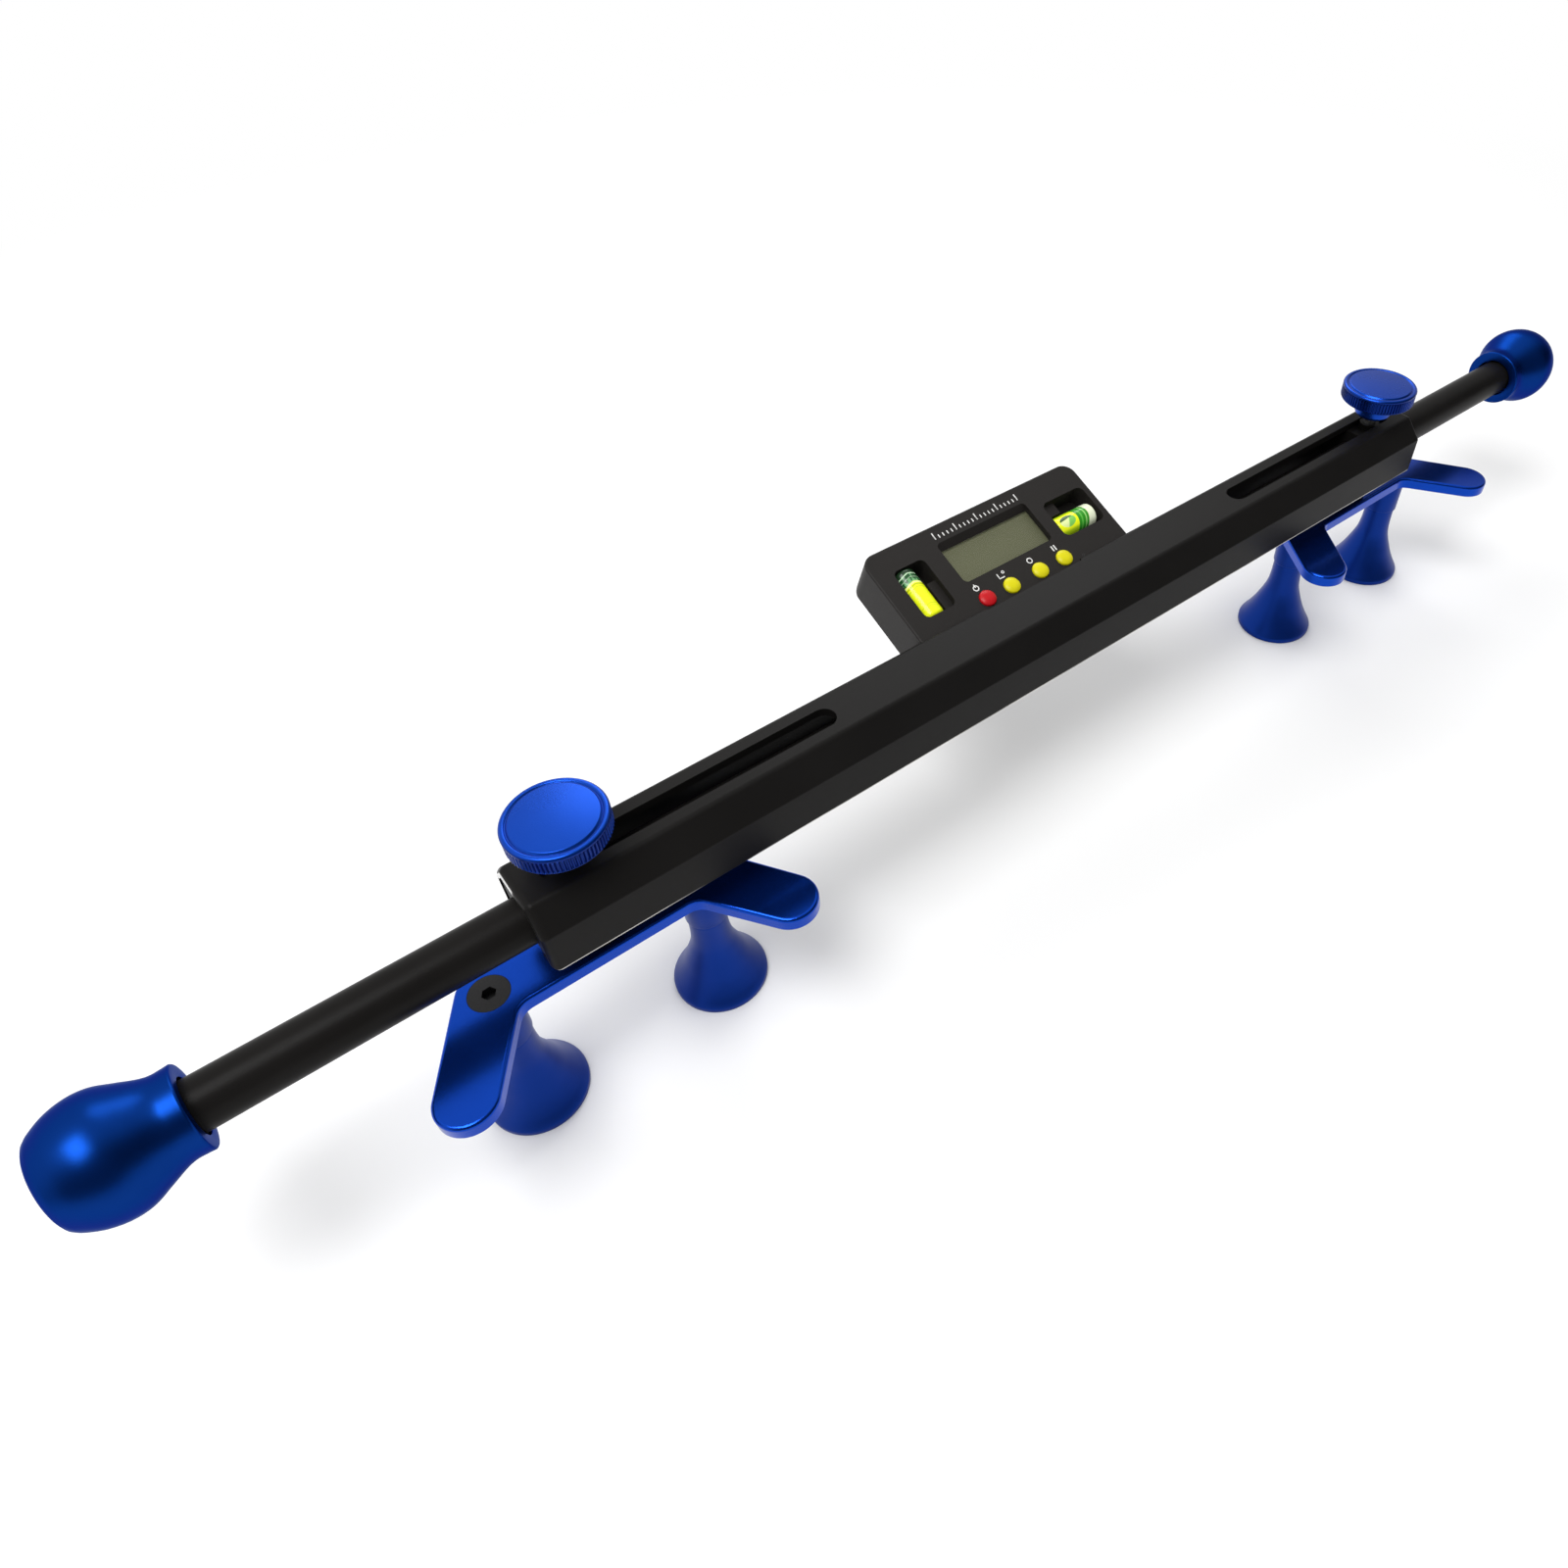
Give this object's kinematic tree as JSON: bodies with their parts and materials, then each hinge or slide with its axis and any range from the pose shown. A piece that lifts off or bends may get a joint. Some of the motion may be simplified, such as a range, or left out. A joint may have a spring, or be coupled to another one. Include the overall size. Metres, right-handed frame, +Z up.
{
  "type": "steering wheel level",
  "caption": "Long black bar with a tilted digital level unit, a sliding rod with bulb handles, and sliding thumbscrew carriages with swivelling brackets on bell shaped feet.",
  "frame": {"origin": "midway between the four feet, on the plane that they stand on, under the bar's centre line and middle", "axes": "+X along the bar from the left handle to the right one, +Y to the back where the unit stands out, +Z up"},
  "size_m": [0.6544, 0.0871, 0.1121],
  "materials": {
    "black_anodised": "satin black anodised",
    "rod_black": "satin black anodised",
    "blue_anodised": "satin blue anodised",
    "steel": "plain steel",
    "screw_black": "black oxide",
    "pad_brass": "turned",
    "bush_plastic": "matt",
    "black_plastic": "fine moulded texture",
    "button_red": "gloss",
    "button_yellow": "gloss",
    "clear_window": "clear",
    "clear_acrylic": "clear",
    "vial_fluid": "bright yellow green liquid",
    "plug_white": "gloss",
    "display_grey": "grey green display",
    "board_green": "printed circuit board",
    "switch_black": "matt",
    "cell_steel": "plain steel"
  },
  "bodies": {
    "frame": {"bar": "black_anodised", "bar_bush_left": "bush_plastic", "bar_bush_right": "bush_plastic", "unit_housing": "black_plastic", "unit_cover": "black_plastic", "battery_lid": "black_plastic", "battery_cell": "cell_steel", "display_window": "clear_window", "display_panel": "display_grey", "circuit_board": "board_green", "key_switches": "switch_black", "unit_cover_screws": "screw_black", "unit_mounting_screws": "screw_black", "vial_left_tube": "clear_acrylic", "vial_right_tube": "clear_acrylic", "vial_left_plug": "plug_white", "vial_right_plug": "plug_white", "vial_left_fluid": "vial_fluid", "vial_right_fluid": "vial_fluid"},
    "rod_and_handles": {"rod": "rod_black", "handle_left": "blue_anodised", "handle_right": "blue_anodised"},
    "power_key": {"button_power": "button_red"},
    "unit_key": {"button_unit": "button_yellow"},
    "zero_key": {"button_zero": "button_yellow"},
    "hold_key": {"button_hold": "button_yellow"},
    "carriage_left_body": {"carriage_left": "black_anodised", "clamp_pad_left": "pad_brass", "pivot_washer_left": "steel", "pivot_screw_left": "screw_black"},
    "thumbscrew_left": {"thumbscrew_head_left": "blue_anodised", "thumbscrew_stud_left": "steel"},
    "bracket_left_body": {"bracket_left": "blue_anodised", "foot_screws_left": "screw_black", "spacer_left_a": "blue_anodised", "spacer_left_b": "blue_anodised", "foot_left_a": "blue_anodised", "foot_left_b": "blue_anodised"},
    "carriage_right_body": {"carriage_right": "black_anodised", "clamp_pad_right": "pad_brass", "pivot_washer_right": "steel", "pivot_screw_right": "screw_black"},
    "thumbscrew_right": {"thumbscrew_head_right": "blue_anodised", "thumbscrew_stud_right": "steel"},
    "bracket_right_body": {"bracket_right": "blue_anodised", "foot_screws_right": "screw_black", "spacer_right_a": "blue_anodised", "spacer_right_b": "blue_anodised", "foot_right_a": "blue_anodised", "foot_right_b": "blue_anodised"}
  },
  "joints": [
    {"name": "rod_slide", "type": "slide", "parent": "frame", "child": "rod_and_handles", "axis": [1, 0, 0], "range_m": [-0.0872, 0.0872]},
    {"name": "carriage_left_slide", "type": "slide", "parent": "frame", "child": "carriage_left_body", "axis": [1, 0, 0], "range_m": [-0.0038, 0.088]},
    {"name": "thumbscrew_left_turn", "type": "hinge", "parent": "carriage_left_body", "child": "thumbscrew_left", "pos_m": [-0.1886, 0, 0.0946], "axis": [0, 0, 1], "range_deg": [0, 360]},
    {"name": "bracket_left_swivel", "type": "hinge", "parent": "carriage_left_body", "child": "bracket_left_body", "pos_m": [-0.1886, 0, 0.0558], "axis": [0, 0, 1], "range_deg": [-180, 180]},
    {"name": "carriage_right_slide", "type": "slide", "parent": "frame", "child": "carriage_right_body", "axis": [1, 0, 0], "range_m": [-0.088, 0.0038]},
    {"name": "thumbscrew_right_turn", "type": "hinge", "parent": "carriage_right_body", "child": "thumbscrew_right", "pos_m": [0.1886, 0, 0.0946], "axis": [0, 0, 1], "range_deg": [0, 360]},
    {"name": "bracket_right_swivel", "type": "hinge", "parent": "carriage_right_body", "child": "bracket_right_body", "pos_m": [0.1886, 0, 0.0558], "axis": [0, 0, 1], "range_deg": [-180, 180]},
    {"name": "power_key_press", "type": "slide", "parent": "frame", "child": "power_key", "axis": [0, -0.3907, 0.9205], "range_m": [-0.0006, 0], "stiffness_N_per_m": 1200, "springref_m": 0.001},
    {"name": "unit_key_press", "type": "slide", "parent": "frame", "child": "unit_key", "axis": [0, -0.3907, 0.9205], "range_m": [-0.0006, 0], "stiffness_N_per_m": 1200, "springref_m": 0.001},
    {"name": "zero_key_press", "type": "slide", "parent": "frame", "child": "zero_key", "axis": [0, -0.3907, 0.9205], "range_m": [-0.0006, 0], "stiffness_N_per_m": 1200, "springref_m": 0.001},
    {"name": "hold_key_press", "type": "slide", "parent": "frame", "child": "hold_key", "axis": [0, -0.3907, 0.9205], "range_m": [-0.0006, 0], "stiffness_N_per_m": 1200, "springref_m": 0.001}
  ]
}
